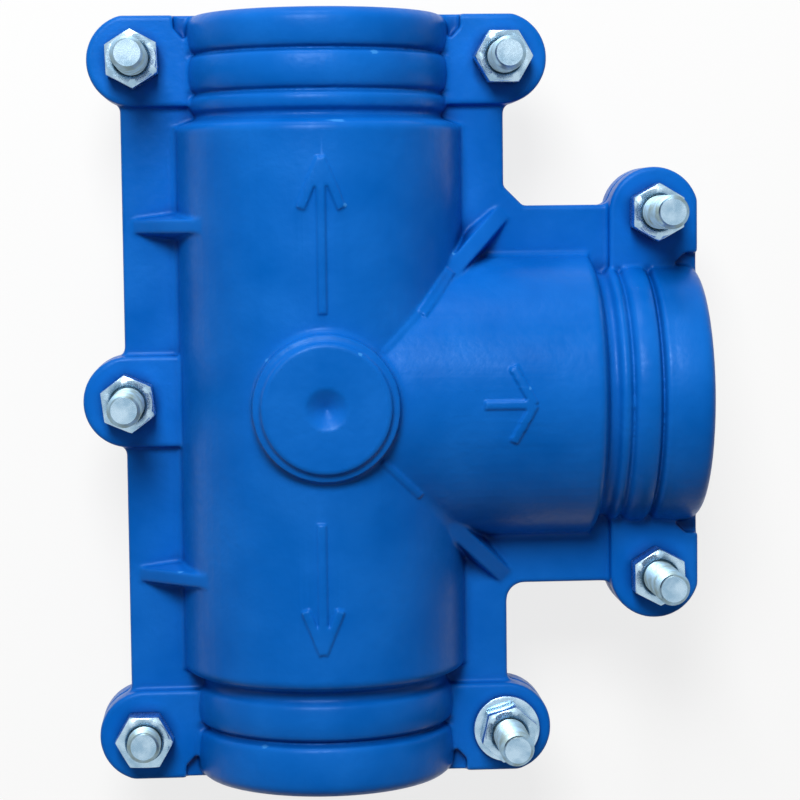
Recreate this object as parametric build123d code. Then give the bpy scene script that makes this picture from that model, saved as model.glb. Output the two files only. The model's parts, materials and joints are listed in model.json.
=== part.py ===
from build123d import *
import os
from dataclasses import dataclass
from math import cos, hypot, radians, sqrt, tan

# Split repair-clamp tee for a 63 mm pipe, closed by seven M12 bolts.
# Frame: millimetres, +Z up. The origin is where the run and branch axes cross, in the split plane.
# The run lies along Y, the branch leaves along +X, and the front shell is the one above the split.

# --- pipe and overall reach ---
PIPE_RADIUS = 31.5            # 63 mm pipe
RUN_REACH = 137.0             # run end face from the origin, each way
BRANCH_REACH = 136.4          # branch end face from the origin

# --- tube ---
RUN_TUBE_OVER_PIPE = 20.0
BRANCH_TUBE_OVER_PIPE = 19.5
RUN_TUBE_RADIUS = PIPE_RADIUS + RUN_TUBE_OVER_PIPE            # outside of the run
BRANCH_TUBE_RADIUS = PIPE_RADIUS + BRANCH_TUBE_OVER_PIPE      # outside of the branch
TUBE_WALL = 6.5
COLLAR_REACH = 39.5           # end face back to where the full tube begins
SHOULDER_SLOPE = 2.4          # run of the shoulder from tube to collar
SHOULDER_ROUND = 3.4

# --- gasket seat inside a collar ---
RUBBER_THICKNESS = 9.5        # pipe to seat
SEAT_RADIUS = PIPE_RADIUS + RUBBER_THICKNESS
SEAT_START = 6.0              # depth of the seat's outer shoulder behind the end face
SEAT_END = 33.0
MOUTH_CLEARANCE = 1.7         # pipe to the iron lip round it
MOUTH_RADIUS = PIPE_RADIUS + MOUTH_CLEARANCE
THROAT_CLEARANCE = 6.0        # pipe to the iron between seat and chamber
THROAT_RADIUS = PIPE_RADIUS + THROAT_CLEARANCE
THROAT_LENGTH = 8.0
THROAT_SLOPE = 6.0            # run of the cone from throat to chamber
THROAT_ROUND = 3.0
SEAT_ROUND = 0.8

# --- collars, measured out from the seat and back from the end face ---
NECK_WALL = 3.6
LAND_WALL = 6.3               # wall under the crown of the two wide lands
RING_WALL = 5.6               # under the narrow ring beside the neck
GROOVE_WALL = 4.4
NECK_RADIUS = SEAT_RADIUS + NECK_WALL
LAND_RADIUS = SEAT_RADIUS + LAND_WALL
RING_RADIUS = SEAT_RADIUS + RING_WALL
GROOVE_RADIUS = SEAT_RADIUS + GROOVE_WALL
MOUTH_ROUND = 4.0             # rounding of the end edge
NECK_ROUND = 1.6
BAND_SLOPE = 1.0              # run of a band's flank
BAND_ROUND = 1.5
GROOVE_ROUND = 0.5

# raised bands of each collar as (start, end, crown radius), measured back from the end face
RUN_UPPER_BANDS = ((0.0, 13.2, LAND_RADIUS), (14.8, 27.2, LAND_RADIUS), (28.8, 34.2, RING_RADIUS))
RUN_LOWER_BANDS = ((0.0, 17.4, LAND_RADIUS), (20.4, 32.8, LAND_RADIUS))
BRANCH_BANDS = ((0.0, 17.2, LAND_RADIUS), (19.6, 28.2, LAND_RADIUS), (29.6, 33.0, RING_RADIUS))

# --- split flange ---
HALF_GAP = 0.6                # half the gap between the two flange faces
FLANGE_TOP = 7.5
PAD_TOP = 11.0                # raised lug pads
BACK_LEDGE = 18.9             # flange beyond the run's tube, on the side away from the branch
BRANCH_SIDE_LEDGE = 15.0      # flange beyond the run's tube, on the branch side
BRANCH_LEDGE = 17.6           # flange beyond the branch's tube, either side
BACK_EDGE = RUN_TUBE_RADIUS + BACK_LEDGE
BRANCH_SIDE_EDGE = RUN_TUBE_RADIUS + BRANCH_SIDE_LEDGE
BRANCH_FLANGE_EDGE = BRANCH_TUBE_RADIUS + BRANCH_LEDGE
CORNER_CHAMFER = 7.0          # inner corner above the branch
CORNER_FILLET = 6.5           # inner corner below the branch
FLANGE_ROUND = 1.2
ROOT_FILLET = 2.5             # where tube meets flange

# --- bolts and lugs ---
BOLT_FROM_TUBE = 14.0         # bolts beside the run, from its tube
MIDDLE_BOLT_FROM_TUBE = 17.5  # the middle bolt stands further out
BRANCH_BOLT_FROM_TUBE = 14.6
BOLT_SET_BACK = 15.8          # bolts beside a collar, from its end face
BOLT_X = RUN_TUBE_RADIUS + BOLT_FROM_TUBE
MIDDLE_BOLT_X = RUN_TUBE_RADIUS + MIDDLE_BOLT_FROM_TUBE
BOLT_Y = RUN_REACH - BOLT_SET_BACK
BRANCH_BOLT_X = BRANCH_REACH - BOLT_SET_BACK
BRANCH_BOLT_Y = BRANCH_TUBE_RADIUS + BRANCH_BOLT_FROM_TUBE
LUG_RADIUS = 16.4
LUG_FILLET = 3.5              # where a lug's arc meets the flange edge
PAD_ROUND = 1.3
NOTCH_LENGTH = 4.6            # relief in a pad beside the mouth of a collar
NOTCH_CLEARANCE = 3.7         # from a land to the relief's side
NOTCH_RADIUS = LAND_RADIUS + NOTCH_CLEARANCE
NOTCH_BEVEL = 3.8             # cut across the relief's inner corners

THREAD_RADIUS = 6.0           # M12
HOLE_CLEARANCE = 0.75         # bolt to lug hole, on the radius
THREAD_CLEARANCE = 0.1        # bolt to nut, on the radius
HEX_FLATS = 18.0
HEAD_HEIGHT = 7.5
NUT_HEIGHT = 10.8
BOLT_LENGTH = 60.0
MEDIUM_BOLT_LENGTH = 50.0     # the upper right bolt
SHORT_BOLT_LENGTH = 40.0      # the lower left bolt
BOLT_POINT = 1.4              # chamfer at the threaded end
WASHER_RADIUS = 12.0
WASHER_THICKNESS = 2.5

# --- ribs ---
GUSSET_Y = 62.5               # two ribs from the back flange up to the run
RIB_WIDTH = 4.8               # across the top
RIB_DRAFT = 11.0              # degrees, each side
RIB_FOOT_INSET = 3.5          # foot of a rib in from the flange edge
RIB_TOP_Z = 30.5              # where a rib runs into the tube
CROTCH_RIB_WIDTH = 6.0

# --- tapping boss on the front shell ---
BOSS_HEIGHT = 6.5             # over the run's crown
BOSS_DISC = 2.8               # thickness of the disc on the foot
BOSS_FOOT_LEDGE = 2.8
BOSS_RADIUS = 22.6
BOSS_TOP = RUN_TUBE_RADIUS + BOSS_HEIGHT
BOSS_STEP = BOSS_TOP - BOSS_DISC
BOSS_FOOT_RADIUS = BOSS_RADIUS + BOSS_FOOT_LEDGE
BOSS_ROUND = 1.1
BOSS_FOOT_FILLET = 1.5
DIMPLE_RADIUS = 7.2
DIMPLE_DEPTH = 4.0

BOSS_ROOT_FILLET = 2.5
CREASE_FILLET = 5.0           # blend where run and branch tubes cross

# --- gaskets ---
GASKET_CLEARANCE = 0.15       # rubber to iron
STRIP_INSET = 1.5             # strip's middle line in from the outside of the run
STRIP_X = RUN_TUBE_RADIUS - STRIP_INSET
STRIP_WIDTH = 5.0
STRIP_DEPTH = 3.4             # depth of its groove in the flange face
STRIP_INTO_RING = 22.0        # strip's ends behind the end faces
RIDGE_COUNT = 4
RIDGE_HEIGHT = 1.6
RIDGE_SHARE = 0.55            # ridge length as a share of its pitch


@dataclass(frozen=True)
class Arm:
    """One arm of the tee: its direction in the split plane, reach, tube and collar bands."""

    turn: float
    reach: float
    tube_radius: float
    bands: tuple

    @property
    def tube_end(self):
        """Where the full tube ends and the collar begins."""
        return self.reach - COLLAR_REACH

    @property
    def chamber_radius(self):
        """Inside of the tube."""
        return self.tube_radius - TUBE_WALL


ARMS = {"run_upper": Arm(90.0, RUN_REACH, RUN_TUBE_RADIUS, RUN_UPPER_BANDS),
        "run_lower": Arm(-90.0, RUN_REACH, RUN_TUBE_RADIUS, RUN_LOWER_BANDS),
        "branch": Arm(0.0, BRANCH_REACH, BRANCH_TUBE_RADIUS, BRANCH_BANDS)}

# name: (x, y, bolt length, turn of the nut in degrees, turn of the head in degrees)
BOLTS = {"upper_left": (-BOLT_X, BOLT_Y, BOLT_LENGTH, 32, 12),
         "middle_left": (-MIDDLE_BOLT_X, 0.0, BOLT_LENGTH, 37, 50),
         "lower_left": (-BOLT_X, -BOLT_Y, SHORT_BOLT_LENGTH, 0, 25),
         "upper_right": (BOLT_X, BOLT_Y, MEDIUM_BOLT_LENGTH, 0, 40),
         "lower_right": (BOLT_X, -BOLT_Y, BOLT_LENGTH, 17, 5),
         "branch_upper": (BRANCH_BOLT_X, BRANCH_BOLT_Y, BOLT_LENGTH, 29, 33),
         "branch_lower": (BRANCH_BOLT_X, -BRANCH_BOLT_Y, BOLT_LENGTH, 32, 18)}
WASHER_AT = "lower_right"


def lathed(corners, turn=0.0):
    """A solid of revolution about +X, turned in the split plane by `turn` degrees.

    corners are (along, radius, rounding), out from the axis and back to it.
    """
    face = make_face(Polyline(*[(along, radius) for along, radius, _ in corners], close=True))
    for along, radius, rounding in corners:
        if rounding:
            face = fillet(face.vertices().sort_by_distance((along, radius, 0))[0], rounding)
    return Rot(0, 0, turn) * revolve(face, Axis.X, 360)


def collar_corners(arm):
    """Corners (along, radius, rounding) of a banded collar, from the end face in to the tube."""
    corners = [(arm.reach, LAND_RADIUS, MOUTH_ROUND)]
    for (_, end, crown), (start, _, next_crown) in zip(arm.bands, arm.bands[1:]):
        corners.append((arm.reach - end, crown, BAND_ROUND))
        slope = min(BAND_SLOPE, (start - end) / 2)
        near, far = arm.reach - end - slope, arm.reach - start + slope
        if near - far > 2 * GROOVE_ROUND:
            corners += [(near, GROOVE_RADIUS, GROOVE_ROUND), (far, GROOVE_RADIUS, GROOVE_ROUND)]
        else:
            corners.append(((near + far) / 2, GROOVE_RADIUS, 0))
        corners.append((arm.reach - start, next_crown, BAND_ROUND))
    _, end, crown = arm.bands[-1]
    corners.append((arm.reach - end, crown, BAND_ROUND))
    corners.append((arm.reach - end - BAND_SLOPE, NECK_RADIUS, NECK_ROUND / 2))
    corners.append((arm.tube_end + SHOULDER_SLOPE, NECK_RADIUS, NECK_ROUND))
    corners.append((arm.tube_end, arm.tube_radius, SHOULDER_ROUND))
    return corners


def outer_form(arm):
    """Solid outside form of one arm, from the origin to its end face."""
    corners = [(0, 0, 0), (arm.reach, 0, 0)] + collar_corners(arm) + [(0, arm.tube_radius, 0)]
    return lathed(corners, arm.turn)


def inner_form(arm):
    """The hollow inside one arm: chamber, throat, gasket seat and mouth."""
    mouth, seat_end = arm.reach - SEAT_START, arm.reach - SEAT_END
    throat_end = seat_end - THROAT_LENGTH
    return lathed([(0, 0, 0), (arm.reach + 1, 0, 0), (arm.reach + 1, MOUTH_RADIUS, 0), (mouth, MOUTH_RADIUS, 0),
                   (mouth, SEAT_RADIUS, SEAT_ROUND), (seat_end, SEAT_RADIUS, SEAT_ROUND),
                   (seat_end, THROAT_RADIUS, 0), (throat_end, THROAT_RADIUS, THROAT_ROUND),
                   (throat_end - THROAT_SLOPE, arm.chamber_radius, THROAT_ROUND), (0, arm.chamber_radius, 0)],
                  arm.turn)


def flange_outline():
    """Plan of the split flange with its seven lugs, corners rounded."""
    run_half = BOLT_Y
    plan = Pos((BRANCH_SIDE_EDGE - BACK_EDGE) / 2, 0) * Rectangle(BACK_EDGE + BRANCH_SIDE_EDGE, 2 * run_half)
    plan += Pos(BRANCH_BOLT_X / 2, 0) * Rectangle(BRANCH_BOLT_X, 2 * BRANCH_FLANGE_EDGE)
    for lug in lug_outlines():
        plan += lug
    inside = [v for v in plan.vertices() if is_lug_joint(v)]
    plan = fillet(inside, LUG_FILLET)
    plan = chamfer(plan.vertices().sort_by_distance((BRANCH_SIDE_EDGE, BRANCH_FLANGE_EDGE, 0))[0], CORNER_CHAMFER)
    return fillet(plan.vertices().sort_by_distance((BRANCH_SIDE_EDGE, -BRANCH_FLANGE_EDGE, 0))[0], CORNER_FILLET)


def is_lug_joint(vertex):
    """True where a lug's arc meets a flange edge, the concave corners of the plan."""
    on_run_edge = min(abs(vertex.X + BACK_EDGE), abs(vertex.X - BRANCH_SIDE_EDGE)) < 0.01
    beside_run = on_run_edge and abs(vertex.Y) < RUN_REACH - 20 and abs(abs(vertex.Y) - BRANCH_FLANGE_EDGE) > 1
    on_branch_edge = abs(abs(vertex.Y) - BRANCH_FLANGE_EDGE) < 0.01
    return beside_run or (on_branch_edge and BRANCH_SIDE_EDGE + 1 < vertex.X < BRANCH_REACH - 20)


def lug_outlines():
    """One plan per lug pad: an arc round the bolt, carried in to the tube and cut at the end face."""
    outlines = []
    for x, y, _, _, _ in BOLTS.values():
        if abs(y) > BRANCH_BOLT_Y:
            pad = Pos(x, y) * Circle(LUG_RADIUS) + Pos(x / 2, y) * Rectangle(abs(x), 2 * LUG_RADIUS)
            pad &= Rectangle(4 * BOLT_X, 2 * RUN_REACH)
        elif y:
            pad = Pos(x, y) * Circle(LUG_RADIUS) + Pos(x, y / 2) * Rectangle(2 * LUG_RADIUS, abs(y))
            pad &= Rectangle(2 * BRANCH_REACH, 4 * BRANCH_BOLT_Y)
        else:
            pad = Pos(x, y) * Circle(LUG_RADIUS) + Pos(x / 2, y) * Rectangle(abs(x), 2 * LUG_RADIUS)
        outlines.append(pad)
    return outlines


def plate(outline, top, rounding):
    """The outline raised from the split face to `top`, its upper edge rounded."""
    body = extrude(Pos(0, 0, HALF_GAP) * outline, top - HALF_GAP)
    return fillet(body.faces().sort_by(Axis.Z)[-1].edges(), rounding)


def tube_root(arm, start, side):
    """Concave fillet between one side of an arm's tube and the flange, from `start` out to the collar."""
    centre_z = FLANGE_TOP + ROOT_FILLET
    reach = arm.tube_radius + ROOT_FILLET
    centre_y = sqrt(reach ** 2 - centre_z ** 2)
    share = arm.tube_radius / reach
    touch_y, touch_z = centre_y * share, centre_z * share
    inside_y, inside_z = touch_y - ROOT_FILLET / 2, FLANGE_TOP - ROOT_FILLET / 2
    wedge = make_face(Polyline((centre_y, inside_z), (centre_y, FLANGE_TOP), (touch_y, touch_z),
                               (inside_y, touch_z), (inside_y, inside_z), close=True))
    wedge -= Pos(centre_y, centre_z) * Circle(ROOT_FILLET)
    section = Plane(origin=(start, 0, 0), x_dir=(0, side, 0), z_dir=(side, 0, 0)) * wedge
    return Rot(0, 0, arm.turn) * extrude(section, side * (arm.tube_end - start))


def rib(foot, head, width):
    """A drafted gusset whose top runs straight from foot to head, both (x, y, z)."""
    foot, head = Vector(*foot), Vector(*head)
    along = (head - foot).normalized()
    across = Vector(0, 0, 1).cross(along).normalized()
    depth = head.Z
    flare = depth * tan(radians(RIB_DRAFT))
    section = make_face(Polyline((-width / 2, 0), (width / 2, 0), (width / 2 + flare, -depth),
                                 (-width / 2 - flare, -depth), close=True))
    return extrude(Plane(origin=foot, x_dir=across, z_dir=along) * section, (head - foot).length)


def ribs():
    """Two gussets on the back of the run and one in each crotch."""
    tube_x = sqrt(RUN_TUBE_RADIUS ** 2 - RIB_TOP_Z ** 2)
    made = [rib((-BACK_EDGE + RIB_FOOT_INSET, s * GUSSET_Y, FLANGE_TOP), (-tube_x, s * GUSSET_Y, RIB_TOP_Z), RIB_WIDTH)
            for s in (1, -1)]
    corner = BRANCH_SIDE_EDGE
    made += [rib((corner, s * corner, FLANGE_TOP), (tube_x, s * tube_x, RIB_TOP_Z), CROTCH_RIB_WIDTH) for s in (1, -1)]
    return made


def boss():
    """Round tapping boss over the crossing: a filleted foot with a flat disc on it."""
    body = lathed([(0, 0, 0), (0, BOSS_FOOT_RADIUS, 0), (BOSS_STEP, BOSS_FOOT_RADIUS, 0),
                   (BOSS_STEP, BOSS_RADIUS, BOSS_FOOT_FILLET), (BOSS_TOP, BOSS_RADIUS, BOSS_ROUND), (BOSS_TOP, 0, 0)])
    return Rot(0, -90, 0) * body


def dimple():
    """Drill point in the middle of the boss."""
    return Pos(0, 0, BOSS_TOP - DIMPLE_DEPTH) * Cone(0.01, DIMPLE_RADIUS * 1.25, DIMPLE_DEPTH * 1.25,
                                                    align=(Align.CENTER, Align.CENTER, Align.MIN))


def pad_notch(arm):
    """Relief in the pads beside a collar's mouth, down to the flange top, its inner corners cut off."""
    corner, deep = arm.reach - NOTCH_LENGTH, arm.reach - NOTCH_LENGTH - NOTCH_BEVEL
    narrow = NOTCH_RADIUS - NOTCH_BEVEL
    outline = Polyline((deep, -narrow), (corner, -NOTCH_RADIUS), (arm.reach + 1, -NOTCH_RADIUS),
                       (arm.reach + 1, NOTCH_RADIUS), (corner, NOTCH_RADIUS), (deep, narrow), close=True)
    return Rot(0, 0, arm.turn) * extrude(Pos(0, 0, FLANGE_TOP) * make_face(outline), 2 * PAD_TOP)


def above(height):
    """Everything over a height, as far as the part reaches."""
    size = 4 * RUN_REACH
    return Pos(0, 0, height) * Box(size, size, size, align=(Align.CENTER, Align.CENTER, Align.MIN))


def tube_body(with_boss):
    """The three arms above the split face, blended where they cross, with the boss on top."""
    run, branch = outer_form(ARMS["run_upper"]) + outer_form(ARMS["run_lower"]), outer_form(ARMS["branch"])
    body = (run + branch) & above(HALF_GAP)
    if with_boss:
        body += boss()
    creases = [edge for edge in body.edges() if is_crease(edge)]
    body = fillet(creases, CREASE_FILLET)
    if with_boss:
        foot = [edge for edge in body.edges() if is_boss_foot(edge)]
        body = fillet(foot, BOSS_ROOT_FILLET)
    return body


def is_crease(edge):
    """True for the edges along which the run and branch tubes cross."""
    middle = edge.center()
    curved = edge.geom_type not in (GeomType.LINE, GeomType.CIRCLE)
    clear_of_boss = edge.length > BOSS_RADIUS and max(vertex.Z for vertex in edge.vertices()) < BOSS_STEP
    ends_low = min(vertex.Z for vertex in edge.vertices()) < FLANGE_TOP
    return curved and clear_of_boss and ends_low and middle.X > 0


def is_boss_foot(edge):
    """True for the edges where the boss rises from the tubes."""
    reaches = [hypot(vertex.X, vertex.Y) for vertex in edge.vertices()]
    heights = [vertex.Z for vertex in edge.vertices()]
    return max(abs(reach - BOSS_FOOT_RADIUS) for reach in reaches) < 0.1 and TUBE_WALL < min(heights) < BOSS_STEP - 1


def flange_body():
    """Split flange with its raised lug pads."""
    body = plate(flange_outline(), FLANGE_TOP, FLANGE_ROUND)
    for outline in lug_outlines():
        body += plate(outline, PAD_TOP, PAD_ROUND)
    for arm in ARMS.values():
        body -= pad_notch(arm)
    return body


def shell(with_boss):
    """One half casting, above the split plane."""
    body = tube_body(with_boss) + flange_body()
    for web in ribs():
        body += web & above(HALF_GAP)
    upper, lower, branch = ARMS["run_upper"], ARMS["run_lower"], ARMS["branch"]
    body += tube_root(upper, 0, 1) + tube_root(lower, 0, -1)
    body += tube_root(upper, BRANCH_TUBE_RADIUS, -1) + tube_root(lower, BRANCH_TUBE_RADIUS, 1)
    body += tube_root(branch, RUN_TUBE_RADIUS, 1) + tube_root(branch, RUN_TUBE_RADIUS, -1)
    for arm in ARMS.values():
        body -= inner_form(arm)
    if with_boss:
        body -= dimple()
    for x, y, _, _, _ in BOLTS.values():
        body -= Pos(x, y, PAD_TOP) * Cylinder(THREAD_RADIUS + HOLE_CLEARANCE, 4 * PAD_TOP)
    return body - strip_grooves()


def strip_lines():
    """Middle lines of the three flange strips of a gasket."""
    run_end = RUN_REACH - STRIP_INTO_RING
    branch_end = BRANCH_REACH - STRIP_INTO_RING
    ring_in = SEAT_RADIUS - 3
    back = Polyline((-ring_in, run_end), (-STRIP_X, run_end), (-STRIP_X, -run_end), (-ring_in, -run_end))
    crotches = [Polyline((ring_in, s * run_end), (STRIP_X, s * run_end), (STRIP_X, s * STRIP_X),
                         (branch_end, s * STRIP_X), (branch_end, s * ring_in)) for s in (1, -1)]
    return [back] + crotches


def strip_bodies(width, bottom, top):
    """The three strips as one body of the given width between two heights."""
    return sum((extrude(Pos(0, 0, bottom) * trace(line, width), top - bottom) for line in strip_lines()), Part())


def strip_grooves():
    """Grooves in the flange face that hold the gasket strips."""
    return strip_bodies(STRIP_WIDTH, 0, HALF_GAP + STRIP_DEPTH)


def ring(arm):
    """Ring of a gasket, ridged inside, as seated in one collar."""
    start = arm.reach - SEAT_START - GASKET_CLEARANCE
    end = arm.reach - SEAT_END + GASKET_CLEARANCE
    outer = SEAT_RADIUS - GASKET_CLEARANCE
    root = PIPE_RADIUS + RIDGE_HEIGHT
    pitch = (start - end) / RIDGE_COUNT
    land = RIDGE_SHARE * pitch
    flank = (pitch - land) / 4
    corners = [(start, root, 0), (start, outer, SEAT_ROUND), (end, outer, SEAT_ROUND), (end, root, 0)]
    for index in range(RIDGE_COUNT):
        middle = end + (index + 0.5) * pitch
        corners += [(middle - land / 2 - flank, root, 0), (middle - land / 2, PIPE_RADIUS, 0),
                    (middle + land / 2, PIPE_RADIUS, 0), (middle + land / 2 + flank, root, 0)]
    return lathed(corners, arm.turn)


def gasket():
    """One moulded rubber frame above the split plane: three half rings joined by flange strips."""
    body = strip_bodies(STRIP_WIDTH - 2 * GASKET_CLEARANCE, 0, HALF_GAP + STRIP_DEPTH - GASKET_CLEARANCE)
    for arm in ARMS.values():
        body += ring(arm) & above(0)
    return body


def hexagon(height, turn, top_chamfer, bottom_chamfer):
    """Hexagon prism from z = 0 up, its corners turned down by 30 degree chamfers."""
    corner = HEX_FLATS / 2 / cos(radians(30))
    body = Rot(0, 0, turn) * extrude(RegularPolygon(corner, 6), height)
    flat = HEX_FLATS / 2 * 0.96
    drop = (corner - flat) * tan(radians(30))
    points = [(0, 0), (flat, 0), (corner, drop), (corner, height - drop), (flat, height), (0, height)]
    if not bottom_chamfer:
        points[1:3] = [(corner, 0)]
    if not top_chamfer:
        points[-3:-1] = [(corner, height)]
    turned = revolve(Plane.XZ * make_face(Polyline(*points, close=True)), Axis.Z, 360)
    return body & turned


def bolt(x, y, length, head_turn):
    """Hexagon bolt with its head under the rear shell and its thread upwards."""
    head = Pos(0, 0, -HEAD_HEIGHT) * hexagon(HEAD_HEIGHT, head_turn, False, True)
    shank = Cylinder(THREAD_RADIUS, length, align=(Align.CENTER, Align.CENTER, Align.MIN))
    shank = chamfer(shank.faces().sort_by(Axis.Z)[-1].edges(), BOLT_POINT)
    return Pos(x, y, -PAD_TOP) * (head + shank)


def nut(x, y, base, turn):
    """Hexagon nut seated at height `base`."""
    body = hexagon(NUT_HEIGHT, turn, True, True)
    body -= Cylinder(THREAD_RADIUS + THREAD_CLEARANCE, 4 * NUT_HEIGHT)
    return Pos(x, y, base) * body


def washer(x, y):
    """Plain washer on a front lug pad."""
    disc = Cylinder(WASHER_RADIUS, WASHER_THICKNESS, align=(Align.CENTER, Align.CENTER, Align.MIN))
    disc = chamfer(disc.faces().sort_by(Axis.Z)[-1].edges(), 0.4)
    disc -= Cylinder(THREAD_RADIUS + HOLE_CLEARANCE / 2, 4 * WASHER_THICKNESS)
    return Pos(x, y, PAD_TOP) * disc


def build():
    """Every piece by node name."""
    pieces = {"front_shell": shell(True), "rear_shell": mirror(shell(False), Plane.XY)}
    front = gasket()
    pieces["front_gasket"] = front
    pieces["rear_gasket"] = mirror(front, Plane.XY)
    for name, (x, y, length, nut_turn, head_turn) in BOLTS.items():
        base = PAD_TOP + (WASHER_THICKNESS if name == WASHER_AT else 0.0)
        pieces[f"bolt_{name}"] = bolt(x, y, length, head_turn)
        pieces[f"nut_{name}"] = nut(x, y, base, nut_turn)
    x, y = BOLTS[WASHER_AT][:2]
    pieces[f"washer_{WASHER_AT}"] = washer(x, y)
    return pieces


os.makedirs("parts", exist_ok=True)
for node, piece in build().items():
    export_step(piece, f"parts/{node}.step")
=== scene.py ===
"""Looks of a split repair-clamp tee.

Two epoxy-coated iron half shells are clamped round a pipe by seven zinc-plated M12 bolts,
with a moulded rubber frame in each shell. Everything is in metres, in the frame of the CAD part.
"""

import json
import logging
from dataclasses import dataclass
from enum import Enum
from math import atan2, cos, hypot, pi, radians, sin, tan

import bmesh
import bpy
import numpy as np
from mathutils import Euler, Matrix, Vector
from mathutils.bvhtree import BVHTree

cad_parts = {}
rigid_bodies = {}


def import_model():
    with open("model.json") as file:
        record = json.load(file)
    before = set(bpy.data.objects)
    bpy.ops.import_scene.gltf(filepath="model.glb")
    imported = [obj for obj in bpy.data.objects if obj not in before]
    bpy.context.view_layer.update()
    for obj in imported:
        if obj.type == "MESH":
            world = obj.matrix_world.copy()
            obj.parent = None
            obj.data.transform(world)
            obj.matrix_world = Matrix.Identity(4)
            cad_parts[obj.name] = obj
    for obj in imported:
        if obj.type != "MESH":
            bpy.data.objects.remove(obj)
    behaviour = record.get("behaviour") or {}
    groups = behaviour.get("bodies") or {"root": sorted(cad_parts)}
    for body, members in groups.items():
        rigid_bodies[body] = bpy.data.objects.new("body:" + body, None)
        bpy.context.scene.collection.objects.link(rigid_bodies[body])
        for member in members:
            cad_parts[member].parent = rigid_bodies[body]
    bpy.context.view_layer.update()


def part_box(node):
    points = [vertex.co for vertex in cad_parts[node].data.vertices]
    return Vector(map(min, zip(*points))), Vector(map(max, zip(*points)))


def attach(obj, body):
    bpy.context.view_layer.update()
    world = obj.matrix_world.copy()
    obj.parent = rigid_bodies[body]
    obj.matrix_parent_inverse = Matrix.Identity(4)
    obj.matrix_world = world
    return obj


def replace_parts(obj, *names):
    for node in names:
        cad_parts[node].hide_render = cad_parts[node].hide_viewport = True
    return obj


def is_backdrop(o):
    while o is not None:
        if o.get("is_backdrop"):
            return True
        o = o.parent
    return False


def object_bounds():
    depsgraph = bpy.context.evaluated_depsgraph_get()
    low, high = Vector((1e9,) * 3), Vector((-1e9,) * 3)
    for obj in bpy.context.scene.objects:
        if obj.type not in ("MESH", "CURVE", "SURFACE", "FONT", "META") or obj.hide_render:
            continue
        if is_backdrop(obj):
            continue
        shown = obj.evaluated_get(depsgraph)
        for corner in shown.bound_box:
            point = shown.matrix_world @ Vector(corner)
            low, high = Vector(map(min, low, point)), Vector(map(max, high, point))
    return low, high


MM = 0.001
BODY = "root"
MERGE = 0.002 * MM
WELD = 0.001 * MM  # joins the loose triangles of a CAD mesh
MID_NOISE = (0.3, 0.7)  # most of a noise lies between these values
MIX_FIRST, MIX_SECOND, MIX_RESULT = 6, 7, 2  # colour sockets of a Mix node
SMOOTHING = 0.5  # share of the way to its neighbours that one round moves a vertex
OVERHEAD = 1.0  # a height above the whole tee
WHITE = (1.0, 1.0, 1.0, 1.0)
Z_AXIS = (0.0, 0.0, 1.0)
LOG = logging.getLogger("tee")


class Slot(Enum):
    """Material slots of the record."""

    IRON = "coated_iron"
    RUBBER = "rubber"
    ZINC = "zinc"


# --------------------------------------------------------------------------- node and mesh helpers


def linear(code: str) -> tuple[float, float, float, float]:
    """Turn an sRGB colour into linear RGBA.

    Args:
        code: Colour as "#RRGGBB".

    Returns:
        Red, green, blue and an alpha of 1.
    """
    levels = [int(code[i : i + 2], 16) / 255 for i in (1, 3, 5)]
    return (*[v / 12.92 if v <= 0.04045 else ((v + 0.055) / 1.055) ** 2.4 for v in levels], 1.0)


def add_node(
    tree: bpy.types.NodeTree, kind: str, inputs: dict | None = None, stops: tuple = (), **settings
) -> bpy.types.Node:
    """Add a node with its settings, values and links.

    Args:
        tree: Node tree that takes the node.
        kind: Node type without its "ShaderNode" prefix.
        inputs: Input name or index to a value, or to the output socket that feeds it.
        stops: Positions and colours of a colour ramp.
        **settings: Attributes of the node.

    Returns:
        The new node.
    """
    node = tree.nodes.new("ShaderNode" + kind)
    for name, value in settings.items():
        setattr(node, name, value)
    for key, value in (inputs or {}).items():
        if isinstance(value, bpy.types.NodeSocket):
            tree.links.new(value, node.inputs[key])
        else:
            node.inputs[key].default_value = value
    if stops:
        elements = node.color_ramp.elements
        while len(elements) < len(stops):
            elements.new(0.5)
        for element, (position, colour) in zip(elements, stops):
            element.position = position
            element.color = colour
    return node


def new_material(name: str) -> tuple[bpy.types.Material, bpy.types.NodeTree]:
    """Make an empty node material.

    Args:
        name: Name of the material.

    Returns:
        The material and its node tree.
    """
    material = bpy.data.materials.new(name)
    material.use_nodes = True
    material.node_tree.nodes.clear()
    return material, material.node_tree


def grey(level: float) -> tuple[float, float, float, float]:
    """Linear grey of one level."""
    return (level, level, level, 1.0)


def noise(
    tree: bpy.types.NodeTree, place: bpy.types.NodeSocket, size_mm: float, detail: float
) -> bpy.types.NodeSocket:
    """Add a noise with features of a real size.

    Args:
        tree: Node tree.
        place: Coordinates.
        size_mm: Size of the features, in millimetres.
        detail: Octaves of finer noise.

    Returns:
        Value of the noise.
    """
    inputs = {"Vector": place, "Scale": 1 / (size_mm * MM), "Detail": detail}
    return add_node(tree, "TexNoise", inputs).outputs[0]


def spread(
    tree: bpy.types.NodeTree,
    value: bpy.types.NodeSocket,
    to: tuple[float, float],
    span: tuple[float, float] = MID_NOISE,
) -> bpy.types.NodeSocket:
    """Map a noise onto a range.

    Args:
        tree: Node tree.
        value: Value of the noise.
        to: Lowest and highest result.
        span: Values of the noise that give them.

    Returns:
        The mapped value.
    """
    inputs = {"Value": value, "From Min": span[0], "From Max": span[1], "To Min": to[0], "To Max": to[1]}
    return add_node(tree, "MapRange", inputs).outputs[0]


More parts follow.
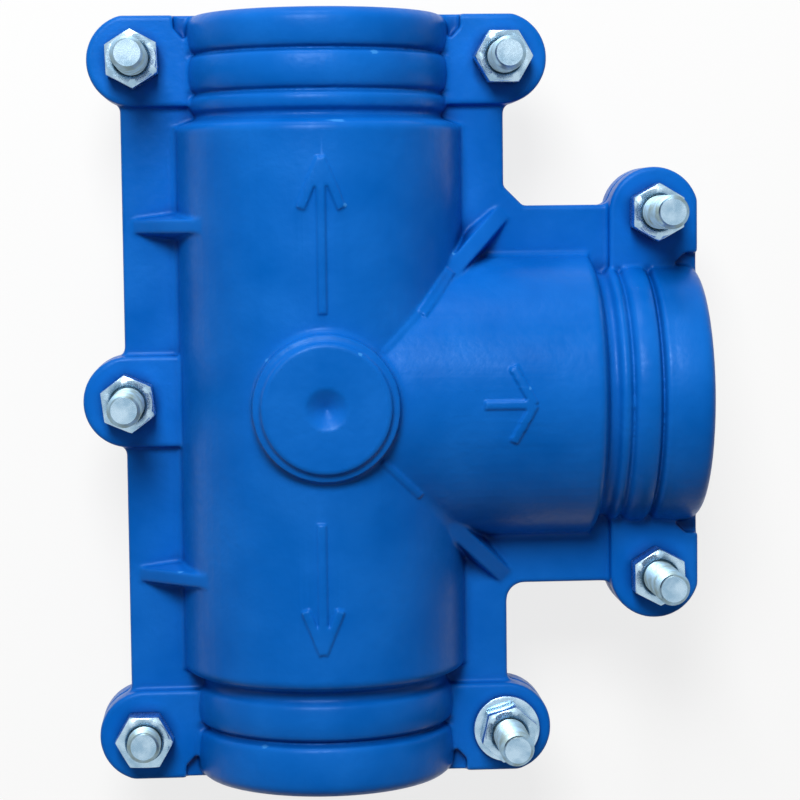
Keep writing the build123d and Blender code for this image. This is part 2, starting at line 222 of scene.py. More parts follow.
def ramp(
    tree: bpy.types.NodeTree,
    value: bpy.types.NodeSocket,
    first: tuple[float, tuple],
    last: tuple[float, tuple],
) -> bpy.types.NodeSocket:
    """Add a colour ramp between two stops, each a position and a colour."""
    return add_node(tree, "ValToRGB", {"Fac": value}, stops=(first, last)).outputs[0]


def mix(
    tree: bpy.types.NodeTree,
    share: bpy.types.NodeSocket,
    first: bpy.types.NodeSocket | tuple,
    second: tuple,
) -> bpy.types.NodeSocket:
    """Mix the second colour into the first by a share."""
    inputs = {"Factor": share, MIX_FIRST: first, MIX_SECOND: second}
    return add_node(tree, "Mix", inputs, data_type="RGBA").outputs[MIX_RESULT]


def bump(
    tree: bpy.types.NodeTree,
    height: bpy.types.NodeSocket,
    strength: float | bpy.types.NodeSocket,
    depth_mm: float,
    below: bpy.types.NodeSocket | None = None,
) -> bpy.types.NodeSocket:
    """Add a bump.

    Args:
        tree: Node tree.
        height: Height pattern.
        strength: Share of the depth that shows.
        depth_mm: Depth of the pattern, in millimetres.
        below: Normal of a coarser bump under this one.

    Returns:
        The normal.
    """
    inputs = {"Height": height, "Strength": strength, "Distance": depth_mm * MM}
    if below is not None:
        inputs["Normal"] = below
    return add_node(tree, "Bump", inputs).outputs[0]


def background_rays(tree: bpy.types.NodeTree, rays: bpy.types.bpy_prop_collection) -> bpy.types.NodeSocket:
    """Mark the rays that see the studio's white: camera, glossy and transmission rays.

    Args:
        tree: Node tree.
        rays: Outputs of a Light Path node.

    Returns:
        1 for those rays, 0 for the others.
    """
    inputs = {0: rays["Is Camera Ray"], 1: rays["Is Glossy Ray"]}
    seen = add_node(tree, "Math", inputs, operation="ADD").outputs[0]
    inputs = {0: seen, 1: rays["Is Transmission Ray"]}
    return add_node(tree, "Math", inputs, operation="ADD", use_clamp=True).outputs[0]


def spun(profile: list[tuple[float, float]], steps: int, closed: bool = True) -> bmesh.types.BMesh:
    """Spin a profile right round the Z axis.

    Args:
        profile: Corners as (radius, height), in metres.
        steps: Steps in the full turn.
        closed: True where the profile is a ring, False where it starts and ends on the axis.

    Returns:
        A closed mesh with its faces outwards.
    """
    bm = bmesh.new()
    corners = [bm.verts.new((radius, 0.0, height)) for radius, height in profile]
    ends = corners[1:] + corners[:1] if closed else corners[1:]
    lines = [bm.edges.new(pair) for pair in zip(corners, ends)]
    bmesh.ops.spin(
        bm, geom=corners + lines, cent=(0, 0, 0), axis=Z_AXIS, angle=2 * pi, steps=steps, use_merge=True
    )
    bmesh.ops.remove_doubles(bm, verts=bm.verts[:], dist=MERGE)
    bmesh.ops.recalc_face_normals(bm, faces=bm.faces[:])
    return bm


def soften_edges(bm: bmesh.types.BMesh, width: float, sharp: float = 0.5) -> None:
    """Round every edge sharper than `sharp` radians.

    Args:
        bm: Mesh to change.
        width: Width of the rounding.
        sharp: Least angle between faces, in radians.
    """
    edges = [edge for edge in bm.edges if len(edge.link_faces) == 2 and edge.calc_face_angle() > sharp]
    bmesh.ops.bevel(
        bm,
        geom=edges,
        offset=width,
        offset_type="OFFSET",
        segments=2,
        profile=0.5,
        affect="EDGES",
        material=-1,
    )


def as_piece(name: str, bm: bmesh.types.BMesh, sharp_angle: float | None = 35.0) -> bpy.types.Object:
    """Make a bmesh an object at the origin that rides on the part.

    Args:
        name: Name of the piece.
        bm: Mesh in the frame of the part; it is freed.
        sharp_angle: Shading breaks at edges sharper than this many degrees, or nowhere if None.

    Returns:
        The new object.
    """
    mesh = bpy.data.meshes.new(name)
    bm.to_mesh(mesh)
    bm.free()
    mesh.shade_smooth()
    if sharp_angle is not None:
        mesh.set_sharp_from_angle(angle=radians(sharp_angle))
    piece = bpy.data.objects.new(name, mesh)
    bpy.context.scene.collection.objects.link(piece)
    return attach(piece, BODY)


def solid_copy(node: bpy.types.Object) -> bmesh.types.BMesh:
    """Copy a CAD node's mesh and close it.

    Args:
        node: CAD node.

    Returns:
        The merged copy.
    """
    bm = bmesh.new()
    bm.from_mesh(node.data)
    bmesh.ops.remove_doubles(bm, verts=bm.verts[:], dist=WELD)
    return bm


def settle(piece: bpy.types.Object) -> None:
    """Make the result of the modifiers the mesh of the piece.

    Args:
        piece: Piece to change.
    """
    evaluated = piece.evaluated_get(bpy.context.evaluated_depsgraph_get())
    mesh = bpy.data.meshes.new_from_object(evaluated)
    piece.modifiers.clear()
    old = piece.data
    piece.data = mesh
    bpy.data.meshes.remove(old)
    piece.data.shade_smooth()


def reskin(piece: bpy.types.Object, voxel: float, softening: int) -> None:
    """Give a closed piece one even skin and soften its edges and corners.

    Args:
        piece: Piece to change.
        voxel: Size of the skin's faces.
        softening: Rounds of smoothing; each widens the roundings.
    """
    remesh = piece.modifiers.new("skin", "REMESH")
    remesh.mode = "VOXEL"
    remesh.voxel_size = voxel
    smooth = piece.modifiers.new("softness", "SMOOTH")
    smooth.factor = SMOOTHING
    smooth.iterations = softening
    settle(piece)


def thin_out(piece: bpy.types.Object, triangles: int) -> None:
    """Bring a skinned piece of quads down to a number of triangles.

    Args:
        piece: Piece to change.
        triangles: Most triangles that it keeps.
    """
    thin = piece.modifiers.new("thinned", "DECIMATE")
    thin.ratio = min(1.0, triangles / (2 * len(piece.data.polygons)))
    settle(piece)


def clad(piece: bpy.types.Object, finish: bpy.types.Material) -> None:
    """Make a finish the only material of a piece."""
    piece.data.materials.clear()
    piece.data.materials.append(finish)


# --------------------------------------------------------------------------- finishes


@dataclass(frozen=True)
class EpoxyCoat:
    """Fusion-bonded epoxy powder on sand-cast ductile iron.

    Powder melts to a semi-gloss skin with a fine orange peel. It runs thin and pale over edges, which carry
    a painted highlight too; corners get painted shade, and the slow waves of the sand mould show through.
    """

    name: str = "fusion_bonded_epoxy_on_cast_iron"
    coat: str = "#1069C6"
    deep: str = "#005DB8"
    # pale edge colour: partly thin, worn coat over edges and partly a painted highlight along them
    thin: str = "#3C8EDC"
    # painted shade: the dark blue laid into corners and creases by the ambient occlusion
    painted_corner_shade: str = "#00307A"
    glint: str = "#A6CDFF"
    roughness: float = 0.33
    gloss_spread: tuple[float, float] = (-0.05, 0.08)
    specular: float = 0.18
    ior: float = 1.5
    corner_shade_reach_mm: float = 6.0
    patch_mm: float = 26.0
    wave_mm: float = 9.0
    wave_depth_mm: float = 0.30
    sand_mm: float = 2.4
    sand_depth_mm: float = 0.14
    peel_mm: float = 0.9
    peel_depth_mm: float = 0.03
    patches: tuple[float, float] = (0.32, 0.68)
    edge_wear_and_highlight: tuple[float, float] = (0.532, 0.585)
    edge_wear_and_highlight_most: float = 0.8
    edge_wear_and_highlight_break: float = 0.006
    corner_shade_ao_range: tuple[float, float] = (0.38, 0.86)

    def material(self) -> bpy.types.Material:
        """Build the material.

        Returns:
            The material.
        """
        material, tree = new_material(self.name)
        place = add_node(tree, "TexCoord").outputs["Object"]
        patches = noise(tree, place, self.patch_mm, 3.0)
        waves = noise(tree, place, self.wave_mm, 2.0)
        sand = noise(tree, place, self.sand_mm, 3.0)
        peel = noise(tree, place, self.peel_mm, 1.0)
        low, high = self.gloss_spread
        gloss = spread(tree, sand, (self.roughness + low, self.roughness + high))
        coarse = spread(tree, patches, (0.35, 1.0), (0.35, 0.65))
        relief = bump(tree, waves, 0.55, self.wave_depth_mm)
        relief = bump(tree, sand, coarse, self.sand_depth_mm, relief)
        relief = bump(tree, peel, 0.35, self.peel_depth_mm, relief)
        shader = add_node(
            tree,
            "BsdfPrincipled",
            {
                "Base Color": self.colour(tree, patches, sand),
                "Roughness": gloss,
                "IOR": self.ior,
                "Specular IOR Level": self.specular,
                "Specular Tint": linear(self.glint),
                "Normal": relief,
            },
        )
        add_node(tree, "OutputMaterial", {"Surface": shader.outputs[0]})
        return material

    def colour(
        self, tree: bpy.types.NodeTree, patches: bpy.types.NodeSocket, sand: bpy.types.NodeSocket
    ) -> bpy.types.NodeSocket:
        """Mix the coat's body colour with its thin, pale edges, which carry a painted highlight, and with
        painted shade in corners.

        Args:
            tree: Node tree.
            patches: Slow noise.
            sand: Fine noise, which breaks the line of the worn, highlighted edges.

        Returns:
            Colour socket.
        """
        start, full = self.patches
        body = ramp(tree, patches, (start, linear(self.deep)), (full, linear(self.coat)))
        # convex edges by pointiness get the pale colour: worn coat and a painted highlight
        bend = add_node(tree, "NewGeometry").outputs["Pointiness"]
        broken = spread(tree, sand, (-self.edge_wear_and_highlight_break, self.edge_wear_and_highlight_break))
        bend = add_node(tree, "Math", {0: bend, 1: broken}, operation="ADD").outputs[0]
        start, full = self.edge_wear_and_highlight
        edge = ramp(tree, bend, (start, grey(0.0)), (full, grey(self.edge_wear_and_highlight_most)))
        # ambient occlusion darkens corners, creases and feet of steps: painted shade
        inputs = {"Distance": self.corner_shade_reach_mm * MM}
        occlusion_shade = add_node(tree, "AmbientOcclusion", inputs, samples=8).outputs["AO"]
        full, start = self.corner_shade_ao_range
        corner = ramp(tree, occlusion_shade, (full, grey(1.0)), (start, grey(0.0)))
        # mix in the pale edges: thin, worn coat with a painted highlight
        thin = mix(tree, edge, body, linear(self.thin))
        return mix(tree, corner, thin, linear(self.painted_corner_shade))


class Surface(Enum):
    """How a zinc-plated face was formed before plating."""

    FORGED = "forged"
    ROLLED = "rolled"


@dataclass(frozen=True)
class ZincPlate:
    """Bright zinc electroplate with a thin blue passivation, on cold-forged or thread-rolled steel.

    Forged faces are bright with a slight bluish bloom and small dents; rolled threads keep oil and dust
    and look greyer and duller.
    """

    surface: Surface = Surface.FORGED
    bright: str = "#B4CFE2"
    bloom: str = "#8FB0C8"
    dull: str = "#7C8F92"
    bloom_mm: float = 5.0
    dent_mm: float = 1.6
    dent_depth_mm: float = 0.05
    grain_mm: float = 0.35
    grain_depth_mm: float = 0.01
    forged_roughness: float = 0.18
    rolled_roughness: float = 0.36
    gloss_spread: float = 0.16

    def material(self) -> bpy.types.Material:
        """Build the material.

        Returns:
            The material.
        """
        rolled = self.surface is Surface.ROLLED
        material, tree = new_material(f"blue_passivated_zinc_{self.surface.value}")
        place = add_node(tree, "TexCoord").outputs["Object"]
        bloom = noise(tree, place, self.bloom_mm, 3.0)
        dents = noise(tree, place, self.dent_mm, 2.0)
        grain = noise(tree, place, self.grain_mm, 2.0)
        dark, pale = (self.dull, self.bloom) if rolled else (self.bloom, self.bright)
        base = self.rolled_roughness if rolled else self.forged_roughness
        relief = bump(tree, dents, 0.4, self.dent_depth_mm)
        shader = add_node(
            tree,
            "BsdfPrincipled",
            {
                "Base Color": ramp(tree, bloom, (0.35, linear(dark)), (0.62, linear(pale))),
                "Metallic": 1.0,
                "Roughness": spread(tree, grain, (base, base + self.gloss_spread)),
                "Normal": bump(tree, grain, 0.3, self.grain_depth_mm, relief),
            },
        )
        add_node(tree, "OutputMaterial", {"Surface": shader.outputs[0]})
        return material


@dataclass(frozen=True)
class MouldedRubber:
    """Black EPDM, compression moulded: matt, with the faint grain of the mould and a grey bloom of talc."""

    name: str = "moulded_epdm_rubber"
    body: str = "#1A1B1D"
    talc: str = "#2C2E30"
    grain_mm: float = 0.6
    grain_depth_mm: float = 0.03
    talc_mm: float = 7.0
    roughness: tuple[float, float] = (0.5, 0.7)
    ior: float = 1.52

    def material(self) -> bpy.types.Material:
        """Build the material.

        Returns:
            The material.
        """
        material, tree = new_material(self.name)
        place = add_node(tree, "TexCoord").outputs["Object"]
        talc = noise(tree, place, self.talc_mm, 4.0)
        grain = noise(tree, place, self.grain_mm, 2.0)
        shader = add_node(
            tree,
            "BsdfPrincipled",
            {
                "Base Color": ramp(tree, talc, (0.4, linear(self.body)), (0.7, linear(self.talc))),
                "Roughness": spread(tree, talc, self.roughness),
                "IOR": self.ior,
                "Normal": bump(tree, grain, 0.4, self.grain_depth_mm),
            },
        )
        add_node(tree, "OutputMaterial", {"Surface": shader.outputs[0]})
        return material


@dataclass(frozen=True)
class StudioPaper:
    """Matt white background paper, lit to plain white where no shadow falls."""

    name: str = "studio_paper"
    paper: str = "#F2F2F0"
    bounce: str = "#8E8E8C"
    glow: float = 0.8
    fibre_mm: float = 3.0
    fibre_depth_mm: float = 0.05
    roughness: float = 0.85

    def material(self) -> bpy.types.Material:
        """Build the material.

        Returns:
            The material.
        """
        material, tree = new_material(self.name)
        place = add_node(tree, "TexCoord").outputs["Object"]
        fibre = noise(tree, place, self.fibre_mm, 2.0)
        rays = add_node(tree, "LightPath").outputs
        matt = add_node(
            tree,
            "BsdfPrincipled",
            {
                "Base Color": mix(tree, rays["Is Diffuse Ray"], linear(self.paper), linear(self.bounce)),
                "Roughness": self.roughness,
                "Normal": bump(tree, fibre, 0.1, self.fibre_depth_mm),
            },
        )
        inputs = {0: background_rays(tree, rays), 1: self.glow}
        share = add_node(tree, "Math", inputs, operation="MULTIPLY")
        white = add_node(tree, "Emission", {"Color": WHITE, "Strength": 1.0})
        blend = add_node(tree, "MixShader", {0: share.outputs[0], 1: matt.outputs[0], 2: white.outputs[0]})
        add_node(tree, "OutputMaterial", {"Surface": blend.outputs[0]})
        return material


# --------------------------------------------------------------------------- the castings


class Arm(Enum):
    """One arm: its axis in degrees from +X, its reach, and its raised bands back from the end face."""

    RUN_UPPER = (90.0, 137.0 * MM, ((0.0, 13.2), (14.8, 27.2), (28.8, 34.2)))
    RUN_LOWER = (-90.0, 137.0 * MM, ((0.0, 17.4), (20.4, 32.8)))
    BRANCH = (0.0, 136.4 * MM, ((0.0, 17.2), (19.6, 28.2), (29.6, 33.0)))

    @property
    def turn(self) -> float:
        """Turn of the axis from +X, in radians."""
        return radians(self.value[0])


@dataclass(frozen=True)
class Collar:
    """The banded end of an arm, whose bands the pattern maker crowned.

    Widths along the arm are in millimetres, as the bands are.
    """

    arm: Arm
    crown: float = 0.075
    groove: float = 0.8 * MM
    groove_width: float = 1.3
    widest_band: float = 12.0
    overshoot: float = 1.2
    run_out: float = 1.0
    fade: float = 0.6 * MM
    inner: float = 44.3 * MM
    outer: float = 47.6 * MM

    def round_bands(self, points: np.ndarray) -> np.ndarray:
        """Lower the shoulders of each band, so that its crown is rounded.

        Args:
            points: Vertices of a shell, one per row.

        Returns:
            The moved vertices.
        """
        _, reach, bands = self.arm.value
        axis = np.array([cos(self.arm.turn), sin(self.arm.turn), 0.0])
        along = points @ axis
        across = points - np.outer(along, axis)
        radius = np.linalg.norm(across, axis=1)
        depth = (reach - along) / MM
        drop = np.full(len(points), np.inf)
        for start, end in bands:
            share = (2 * depth - start - end) / (end - start)
            share = np.clip(share, -self.overshoot, self.overshoot)
            drop = np.minimum(drop, share**2 * self.crown * min(end - start, self.widest_band) * MM)
        for (_, end), (start, _) in zip(bands, bands[1:]):
            drop += self.groove * np.exp(-(((depth - (start + end) / 2) / self.groove_width) ** 2))
        drop *= np.clip(bands[-1][1] + self.run_out - depth, 0.0, 1.0)
        on_band = np.clip((radius - self.inner) / self.fade, 0.0, 1.0) * (radius < self.outer)
        moved = 1 - drop * on_band / np.maximum(radius, MM)
        return np.outer(along, axis) + across * moved[:, None]


@dataclass(frozen=True)
class Bead:
    """A raised bar on the upper side of a shell, between two points of the split plane."""

    start: tuple[float, float]
    end: tuple[float, float]
    width: float = 2.8 * MM
    relief: float = 0.9 * MM
    root: float = 1.4 * MM
    cuts: int = 7

    def lay(self, bm: bmesh.types.BMesh, surface: BVHTree) -> None:
        """Lay the bar on a surface, which it follows.

        Args:
            bm: Mesh that takes the bar.
            surface: Surface under it.
        """
        start, end = Vector((*self.start, 0.0)), Vector((*self.end, 0.0))
        along = end - start
        size = Matrix.Diagonal((along.length, self.width, self.relief + self.root, 1.0))
        swing = Matrix.Rotation(atan2(along.y, along.x), 4, "Z")
        lift = Matrix.Translation((start + end) / 2 + Vector((0, 0, (self.relief - self.root) / 2)))
        bar = bmesh.new()
        bmesh.ops.create_cube(bar, size=1.0, matrix=lift @ swing @ size)
        bmesh.ops.subdivide_edges(bar, edges=bar.edges[:], cuts=self.cuts, use_grid_fill=True)
        for vert in bar.verts:
            hit = surface.ray_cast(Vector((vert.co.x, vert.co.y, OVERHEAD)), Vector((0, 0, -1)))[0]
            vert.co.z += hit.z
        shape = bpy.data.meshes.new("bead")
        bar.to_mesh(shape)
        bar.free()
        bm.from_mesh(shape)
        bpy.data.meshes.remove(shape)


@dataclass(frozen=True)
class FlowArrow:
    """A plain raised arrow on the crown of a tube, as patterns carry to show the way of flow."""

    arm: Arm
    middle: float
    length: float
    width: float
    offset: float = 0.0
    head_share: float = 0.42
    head_limit: float = 2.4

    def beads(self) -> list[Bead]:
        """Place the shaft and the two barbs.

        Returns:
            The three bars.
        """
        tip = self.middle + self.length / 2
        tail = self.middle - self.length / 2
        back = tip - self.head_share * min(self.length, self.head_limit * self.width)
        half = self.width / 2 - Bead.width / 2
        neck = tip - Bead.width / 2
        shaft = Bead(self.place(tail, self.offset), self.place(neck, self.offset))
        sides = ((back, self.offset + half), (back, self.offset - half))
        return [shaft] + [Bead(self.place(*side), self.place(tip, self.offset)) for side in sides]

    def place(self, along: float, across: float) -> tuple[float, float]:
        """Point of the split plane at a distance along and across the arm."""
        turned = Matrix.Rotation(self.arm.turn, 2) @ Vector((along, across))
        return (turned.x, turned.y)


@dataclass
class Casting:
    """One iron half shell: the CAD solid with its marks, softened as sand moulding and powder leave it."""

    node: str
    beads: tuple[Bead, ...] = ()
    voxel: float = 0.5 * MM
    softening: int = 8
    finish_softening: int = 2
    triangles: int = 190_000

    def build(self) -> bpy.types.Object:
        """Build the shell.

        Returns:
            The piece that stands for the CAD node.
        """
        piece = as_piece(f"{self.node}_casting", solid_copy(bpy.data.objects[self.node]), None)
        reskin(piece, self.voxel, self.softening)
        self.round_collars(piece.data)
        if self.beads:
            self.add_beads(piece)
            reskin(piece, self.voxel, self.finish_softening)
        thin_out(piece, self.triangles)
        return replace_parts(piece, self.node)

    def round_collars(self, mesh: bpy.types.Mesh) -> None:
        """Crown the bands of the three collars.

        Args:
            mesh: Mesh of the shell.
        """
        points = np.empty(len(mesh.vertices) * 3)
        mesh.vertices.foreach_get("co", points)
        points = points.reshape(-1, 3)
        for arm in Arm:
            points = Collar(arm).round_bands(points)
        mesh.vertices.foreach_set("co", points.ravel())
        mesh.update()

    def add_beads(self, piece: bpy.types.Object) -> None:
        """Lay the raised marks on the shell.

        Args:
            piece: The shell.
        """
        bm = bmesh.new()
        bm.from_mesh(piece.data)
        surface = BVHTree.FromBMesh(bm)
        for bead in self.beads:
            bead.lay(bm, surface)
        bm.to_mesh(piece.data)
        bm.free()

    def dress(self, piece: bpy.types.Object, finish: bpy.types.Material) -> None:
        """Coat the shell."""
        clad(piece, finish)


# --------------------------------------------------------------------------- the fasteners


@dataclass(frozen=True)
class HexForm:
    """A hexagon whose corners are turned down by cones. The chamfer is in degrees."""

    flats: float = 18.0 * MM
    land: float = 8.64 * MM
    steps: int = 72
    rounding: float = 0.22 * MM
    margin: float = 0.1 * MM
    chamfer: float = 30.0
    blank_share: float = 0.6

    @property
    def blank(self) -> float:
        """Radius of the spun blank, which is wider than the corners."""
        return self.flats * self.blank_share

    def press(self, bm: bmesh.types.BMesh, bottom: float, top: float, chamfers: tuple[bool, bool]) -> None:
        """Press the outermost ring of a spun blank to the hexagon.

        Args:
            bm: Spun blank whose rim is wider than the land.
            bottom: Height of the lower face.
            top: Height of the upper face.
            chamfers: Whether the lower and the upper corners are turned down.
        """
        slope = tan(radians(self.chamfer))
        for vert in bm.verts:
            if hypot(vert.co.x, vert.co.y) < self.land + self.margin:
                continue
            angle = atan2(vert.co.y, vert.co.x)
            reach = self.flats / 2 / cos((angle % (pi / 3)) - pi / 6)
            drop = (reach - self.land) * slope
            low = bottom + drop * chamfers[0]
            high = top - drop * chamfers[1]
            vert.co = (reach * cos(angle), reach * sin(angle), min(max(vert.co.z, low), high))


@dataclass(frozen=True)
class Thread:
    """ISO metric coarse thread.

    The starts and ends of flank and crest are shares of the pitch.
    """

    crest: float = 5.98 * MM
    pitch: float = 1.75 * MM
    depth: float = 0.95 * MM
    tip_radius: float = 4.55 * MM
    steps: int = 32
    flank_start: float = 0.24
    crest_start: float = 0.56
    crest_end: float = 0.68
    weld: float = 0.01 * MM
    flat: float = 0.99

    def add_to(self, bm: bmesh.types.BMesh, bottom: float, top: float) -> None:
        """Roll the thread round the Z axis as a closed solid.

        Args:
            bm: Mesh that takes it.
            bottom: Lowest height.
            top: Height of the flat tip.
        """
        root, pitch = self.crest - self.depth, self.pitch
        start = bottom - 2 * pitch
        turns = int((top - start) / pitch) + 2
        rod = bmesh.new()
        shape = (
            (root, 0.0),
            (root, self.flank_start),
            (self.crest, self.crest_start),
            (self.crest, self.crest_end),
            (root, 1.0),
        )
        corners = [rod.verts.new((radius, 0.0, start + share * pitch)) for radius, share in shape]
        lines = [rod.edges.new(pair) for pair in zip(corners, corners[1:])]
        bmesh.ops.spin(
            rod,
            geom=corners + lines,
            cent=(0, 0, 0),
            axis=Z_AXIS,
            dvec=(0, 0, pitch / self.steps),
            angle=2 * pi * turns,
            steps=turns * self.steps,
            use_merge=False,
        )
        bmesh.ops.remove_doubles(rod, verts=rod.verts[:], dist=self.weld)
        for height, upwards in ((bottom, False), (top, True)):
            bmesh.ops.bisect_plane(
                rod,
                geom=rod.verts[:] + rod.edges[:] + rod.faces[:],
                plane_co=(0, 0, height),
                plane_no=(0, 0, 1 if upwards else -1),
                clear_outer=True,
            )
        for vert in rod.verts:
            radius = hypot(vert.co.x, vert.co.y)
            limit = self.tip_radius + (top - vert.co.z)
            if radius > limit:
                vert.co.x *= limit / radius
                vert.co.y *= limit / radius
        rims = [edge for edge in rod.edges if len(edge.link_faces) == 1]
        bmesh.ops.holes_fill(rod, edges=rims, sides=0)
        bmesh.ops.recalc_face_normals(rod, faces=rod.faces[:])
        for face in rod.faces:
            face.material_index = 0 if abs(face.normal.z) > self.flat else 1
        rolled = bpy.data.meshes.new("rolled_thread")
        rod.to_mesh(rolled)
        rod.free()
        bm.from_mesh(rolled)
        bpy.data.meshes.remove(rolled)


@dataclass
class Fastener:
    """One bolt with its nut, and its washer where it has one. Angles are in degrees."""

    place: str
    nut_turn: float
    head_turn: float
    washer: bool = False
    form: HexForm = HexForm()
    thread: Thread = Thread()
    head_height: float = 7.5 * MM
    threaded: float = 34.0 * MM
    hole: float = 6.12 * MM
    countersink: float = 6.75 * MM
    least_shank: float = 3.0 * MM
    thread_overlap: float = 1.0 * MM
    washer_play: float = 0.4 * MM
    washer_rounding: float = 0.45 * MM
    washer_steps: int = 96

    def centre(self) -> Vector:
        """Middle of the bolt in the split plane."""
        low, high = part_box(f"bolt_{self.place}")
        return Vector(((low.x + high.x) / 2, (low.y + high.y) / 2, 0.0))

    def stand(self, bm: bmesh.types.BMesh, turn: float) -> None:
        """Turn a mesh about the bolt's axis and carry it to the bolt's place.

        Args:
            bm: Mesh made round the Z axis.
            turn: Turn in degrees.
        """
        matrix = Matrix.Translation(self.centre()) @ Matrix.Rotation(radians(turn), 4, "Z")
        bmesh.ops.transform(bm, matrix=matrix, verts=bm.verts[:])

    def build_bolt(self) -> bpy.types.Object:
        """Build the bolt: forged hexagon head, plain shank and rolled thread.

        Returns:
            The bolt.
        """
        low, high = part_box(f"bolt_{self.place}")
        seat = low.z + self.head_height
        shank_top = max(high.z - self.threaded, seat + self.least_shank)
        rim = self.form.blank
        profile = [
            (0.0, low.z),
            (self.form.land, low.z),
            (rim, low.z),
            (rim, seat),
            (self.thread.crest, seat),
            (self.thread.crest, shank_top),
            (0.0, shank_top),
        ]
        bm = spun(profile, self.form.steps, closed=False)
        self.form.press(bm, low.z, seat, (True, False))
        soften_edges(bm, self.form.rounding)
        self.thread.add_to(bm, shank_top - self.thread_overlap, high.z)
        self.stand(bm, self.head_turn)
        bolt = as_piece(f"bolt_{self.place}_zinc", bm)
        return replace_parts(bolt, f"bolt_{self.place}")

    def build_nut(self) -> bpy.types.Object:
        """Build the nut: hexagon with both faces turned and its hole countersunk.

        Returns:
            The nut.
        """
        low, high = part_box(f"nut_{self.place}")
        rim = self.form.blank
        sink = self.countersink - self.hole
        profile = [
            (self.hole, low.z + sink),
            (self.countersink, low.z),
            (self.form.land, low.z),
            (rim, low.z),
            (rim, high.z),
            (self.form.land, high.z),
            (self.countersink, high.z),
            (self.hole, high.z - sink),
        ]
        bm = spun(profile, self.form.steps)
        self.form.press(bm, low.z, high.z, (True, True))
        soften_edges(bm, self.form.rounding)
        self.stand(bm, self.nut_turn)
        nut = as_piece(f"nut_{self.place}_zinc", bm)
        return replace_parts(nut, f"nut_{self.place}")

    def build_washer(self) -> bpy.types.Object:
        """Build the stamped washer, its edges rolled over.

        Returns:
            The washer.
        """
        low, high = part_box(f"washer_{self.place}")
        outer = (high.x - low.x) / 2
        bore = self.thread.crest + self.washer_play
        profile = [(bore, low.z), (outer, low.z), (outer, high.z), (bore, high.z)]
        bm = spun(profile, self.washer_steps)
        soften_edges(bm, self.washer_rounding)
        self.stand(bm, 0.0)
        washer = as_piece(f"washer_{self.place}_zinc", bm)
        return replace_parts(washer, f"washer_{self.place}")

    def dress(
        self, pieces: list[bpy.types.Object], forged: bpy.types.Material, rolled: bpy.types.Material
    ) -> None:
        """Plate the pieces.

        Args:
            pieces: Bolt, nut and washer.
            forged: Finish of the forged faces.
            rolled: Finish of the thread.
        """
        for piece in pieces:
            piece.data.materials.append(forged)
            piece.data.materials.append(rolled)

    def build(self) -> list[bpy.types.Object]:
        """Build every piece of this fastener.

        Returns:
            Bolt, nut, and the washer where there is one.
        """
        pieces = [self.build_bolt(), self.build_nut()]
        if self.washer:
            pieces.append(self.build_washer())
        return pieces


# --------------------------------------------------------------------------- the seals


@dataclass
class Seal:
    """One moulded rubber frame with the rounded ridges and lips that a mould gives."""

    node: str
    voxel: float = 0.55 * MM
    softening: int = 3
    triangles: int = 120_000

    def build(self) -> bpy.types.Object:
        """Build the frame.

        Returns:
            The piece that stands for the CAD node.
        """
        piece = as_piece(f"{self.node}_rubber", solid_copy(bpy.data.objects[self.node]), None)
        reskin(piece, self.voxel, self.softening)
        thin_out(piece, self.triangles)
        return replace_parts(piece, self.node)

    def dress(self, piece: bpy.types.Object, finish: bpy.types.Material) -> None:
        """Give the frame its rubber."""
        clad(piece, finish)


# --------------------------------------------------------------------------- the studio


@dataclass(frozen=True)
class SoftBox:
    """A square soft light that points at the tee."""

    name: str
    place: tuple[float, float, float]
    side: float
    power: float

    def hang(self) -> None:
        """Hang the light."""
        lamp = bpy.data.lights.new(self.name, "AREA")
        lamp.shape = "SQUARE"
        lamp.size = self.side
        lamp.energy = self.power
        holder = bpy.data.objects.new(self.name, lamp)
        holder.location = self.place
        holder.rotation_euler = (-Vector(self.place)).to_track_quat("-Z", "Y").to_euler()
        bpy.context.scene.collection.objects.link(holder)


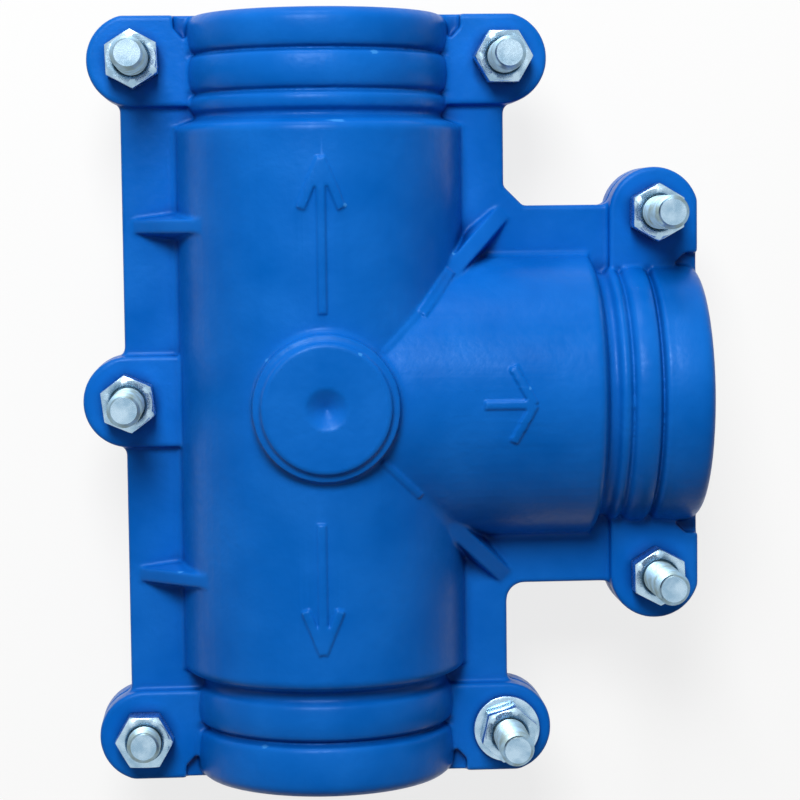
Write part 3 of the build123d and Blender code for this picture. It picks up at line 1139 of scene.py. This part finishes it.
@dataclass
class Studio:
    """Pale floor, soft boxes and the camera over the tee, which lies on its back."""

    floor_size: float = 3.0
    floor_steps: int = 8
    ambient: float = 0.11
    camera_place: tuple[float, float, float] = (-0.02662, 0.06497, 0.85272)
    camera_turn: tuple[float, float, float] = (-4.412, -3.761, -0.646)
    lens: float = 105.79
    sensor: float = 36.0
    clip: tuple[float, float] = (0.05, 20.0)
    lights: tuple[SoftBox, ...] = (
        SoftBox("key", (-0.20, 0.84, 1.20), 0.55, 21.0),
        SoftBox("top", (-0.10, 1.42, 0.42), 0.45, 6.5),
    )

    def build(self) -> None:
        """Lay the floor, hang the lights, and set the world and the camera."""
        low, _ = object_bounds()
        bm = bmesh.new()
        half = self.floor_size / 2
        level = Matrix.Translation((0, 0, low.z))
        steps = self.floor_steps
        bmesh.ops.create_grid(bm, x_segments=steps, y_segments=steps, size=half, matrix=level)
        mesh = bpy.data.meshes.new("floor")
        bm.to_mesh(mesh)
        bm.free()
        floor = bpy.data.objects.new("floor", mesh)
        mesh.materials.append(StudioPaper().material())
        bpy.context.scene.collection.objects.link(floor)
        floor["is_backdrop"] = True
        for light in self.lights:
            light.hang()
        self.set_world()
        self.set_camera()

    def set_world(self) -> None:
        """White to the camera and to reflections, a dimmer even light on the tee."""
        world = bpy.data.worlds.new("studio")
        world.use_nodes = True
        tree = world.node_tree
        tree.nodes.clear()
        rays = add_node(tree, "LightPath").outputs
        inputs = {"Value": background_rays(tree, rays), "To Min": self.ambient, "To Max": 1.0}
        level = add_node(tree, "MapRange", inputs)
        sky = add_node(tree, "Background", {"Color": WHITE, "Strength": level.outputs[0]})
        add_node(tree, "OutputWorld", {"Surface": sky.outputs[0]})
        bpy.context.scene.world = world

    def set_camera(self) -> None:
        """Set the camera over the tee."""
        lens = bpy.data.cameras.new("camera")
        lens.lens = self.lens
        lens.sensor_width = self.sensor
        lens.clip_start, lens.clip_end = self.clip
        camera = bpy.data.objects.new("camera", lens)
        camera.location = self.camera_place
        camera.rotation_euler = Euler([radians(angle) for angle in self.camera_turn], "XYZ")
        bpy.context.scene.collection.objects.link(camera)
        bpy.context.scene.camera = camera
        bpy.context.scene.view_settings.view_transform = "Standard"


# --------------------------------------------------------------------------- the whole tee


ARROWS = (
    FlowArrow(Arm.RUN_UPPER, 58.8 * MM, 53.0 * MM, 17.0 * MM, offset=0.8 * MM),
    FlowArrow(Arm.RUN_LOWER, 62.7 * MM, 45.0 * MM, 15.0 * MM, offset=-2.0 * MM),
    FlowArrow(Arm.BRANCH, 63.3 * MM, 17.0 * MM, 29.0 * MM),
)

# fins of iron that the joint of the mould left along the creases beside the boss
FINS = (
    Bead((19.5 * MM, -19.0 * MM), (33.0 * MM, -32.4 * MM), 2.0 * MM, 0.9 * MM),
    Bead((20.0 * MM, 18.6 * MM), (34.0 * MM, 32.6 * MM), 1.2 * MM, 0.3 * MM),
    Bead((34.0 * MM, 31.6 * MM), (45.5 * MM, 46.0 * MM), 3.2 * MM, 0.9 * MM),
)

FASTENERS = (
    Fastener("upper_left", 32, 12),
    Fastener("middle_left", 37, 50),
    Fastener("lower_left", 0, 25),
    Fastener("upper_right", 0, 40),
    Fastener("lower_right", 17, 5, washer=True),
    Fastener("branch_upper", 29, 33),
    Fastener("branch_lower", 32, 18),
)


def report(piece: bpy.types.Object) -> None:
    """Log a piece with its triangles.

    Args:
        piece: Piece to log.
    """
    count = sum(len(face.vertices) - 2 for face in piece.data.polygons)
    LOG.info("%s: %d triangles", piece.name, count)


def main() -> None:
    """Build every piece, dress it and light it."""
    logging.basicConfig(level=logging.INFO, format="%(name)s: %(message)s")
    for leftover in list(bpy.data.objects):
        bpy.data.objects.remove(leftover)
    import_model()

    epoxy = EpoxyCoat().material()
    rubber = MouldedRubber().material()
    forged = ZincPlate(Surface.FORGED).material()
    rolled = ZincPlate(Surface.ROLLED).material()

    marks = [bead for arrow in ARROWS for bead in arrow.beads()] + list(FINS)
    for casting in (Casting("front_shell", tuple(marks)), Casting("rear_shell")):
        shell = casting.build()
        casting.dress(shell, epoxy)
        report(shell)
    for seal in (Seal("front_gasket"), Seal("rear_gasket")):
        frame = seal.build()
        seal.dress(frame, rubber)
        report(frame)
    for fastener in FASTENERS:
        pieces = fastener.build()
        fastener.dress(pieces, forged, rolled)
        for piece in pieces:
            report(piece)
    Studio().build()


if __name__ == "__main__":
    main()
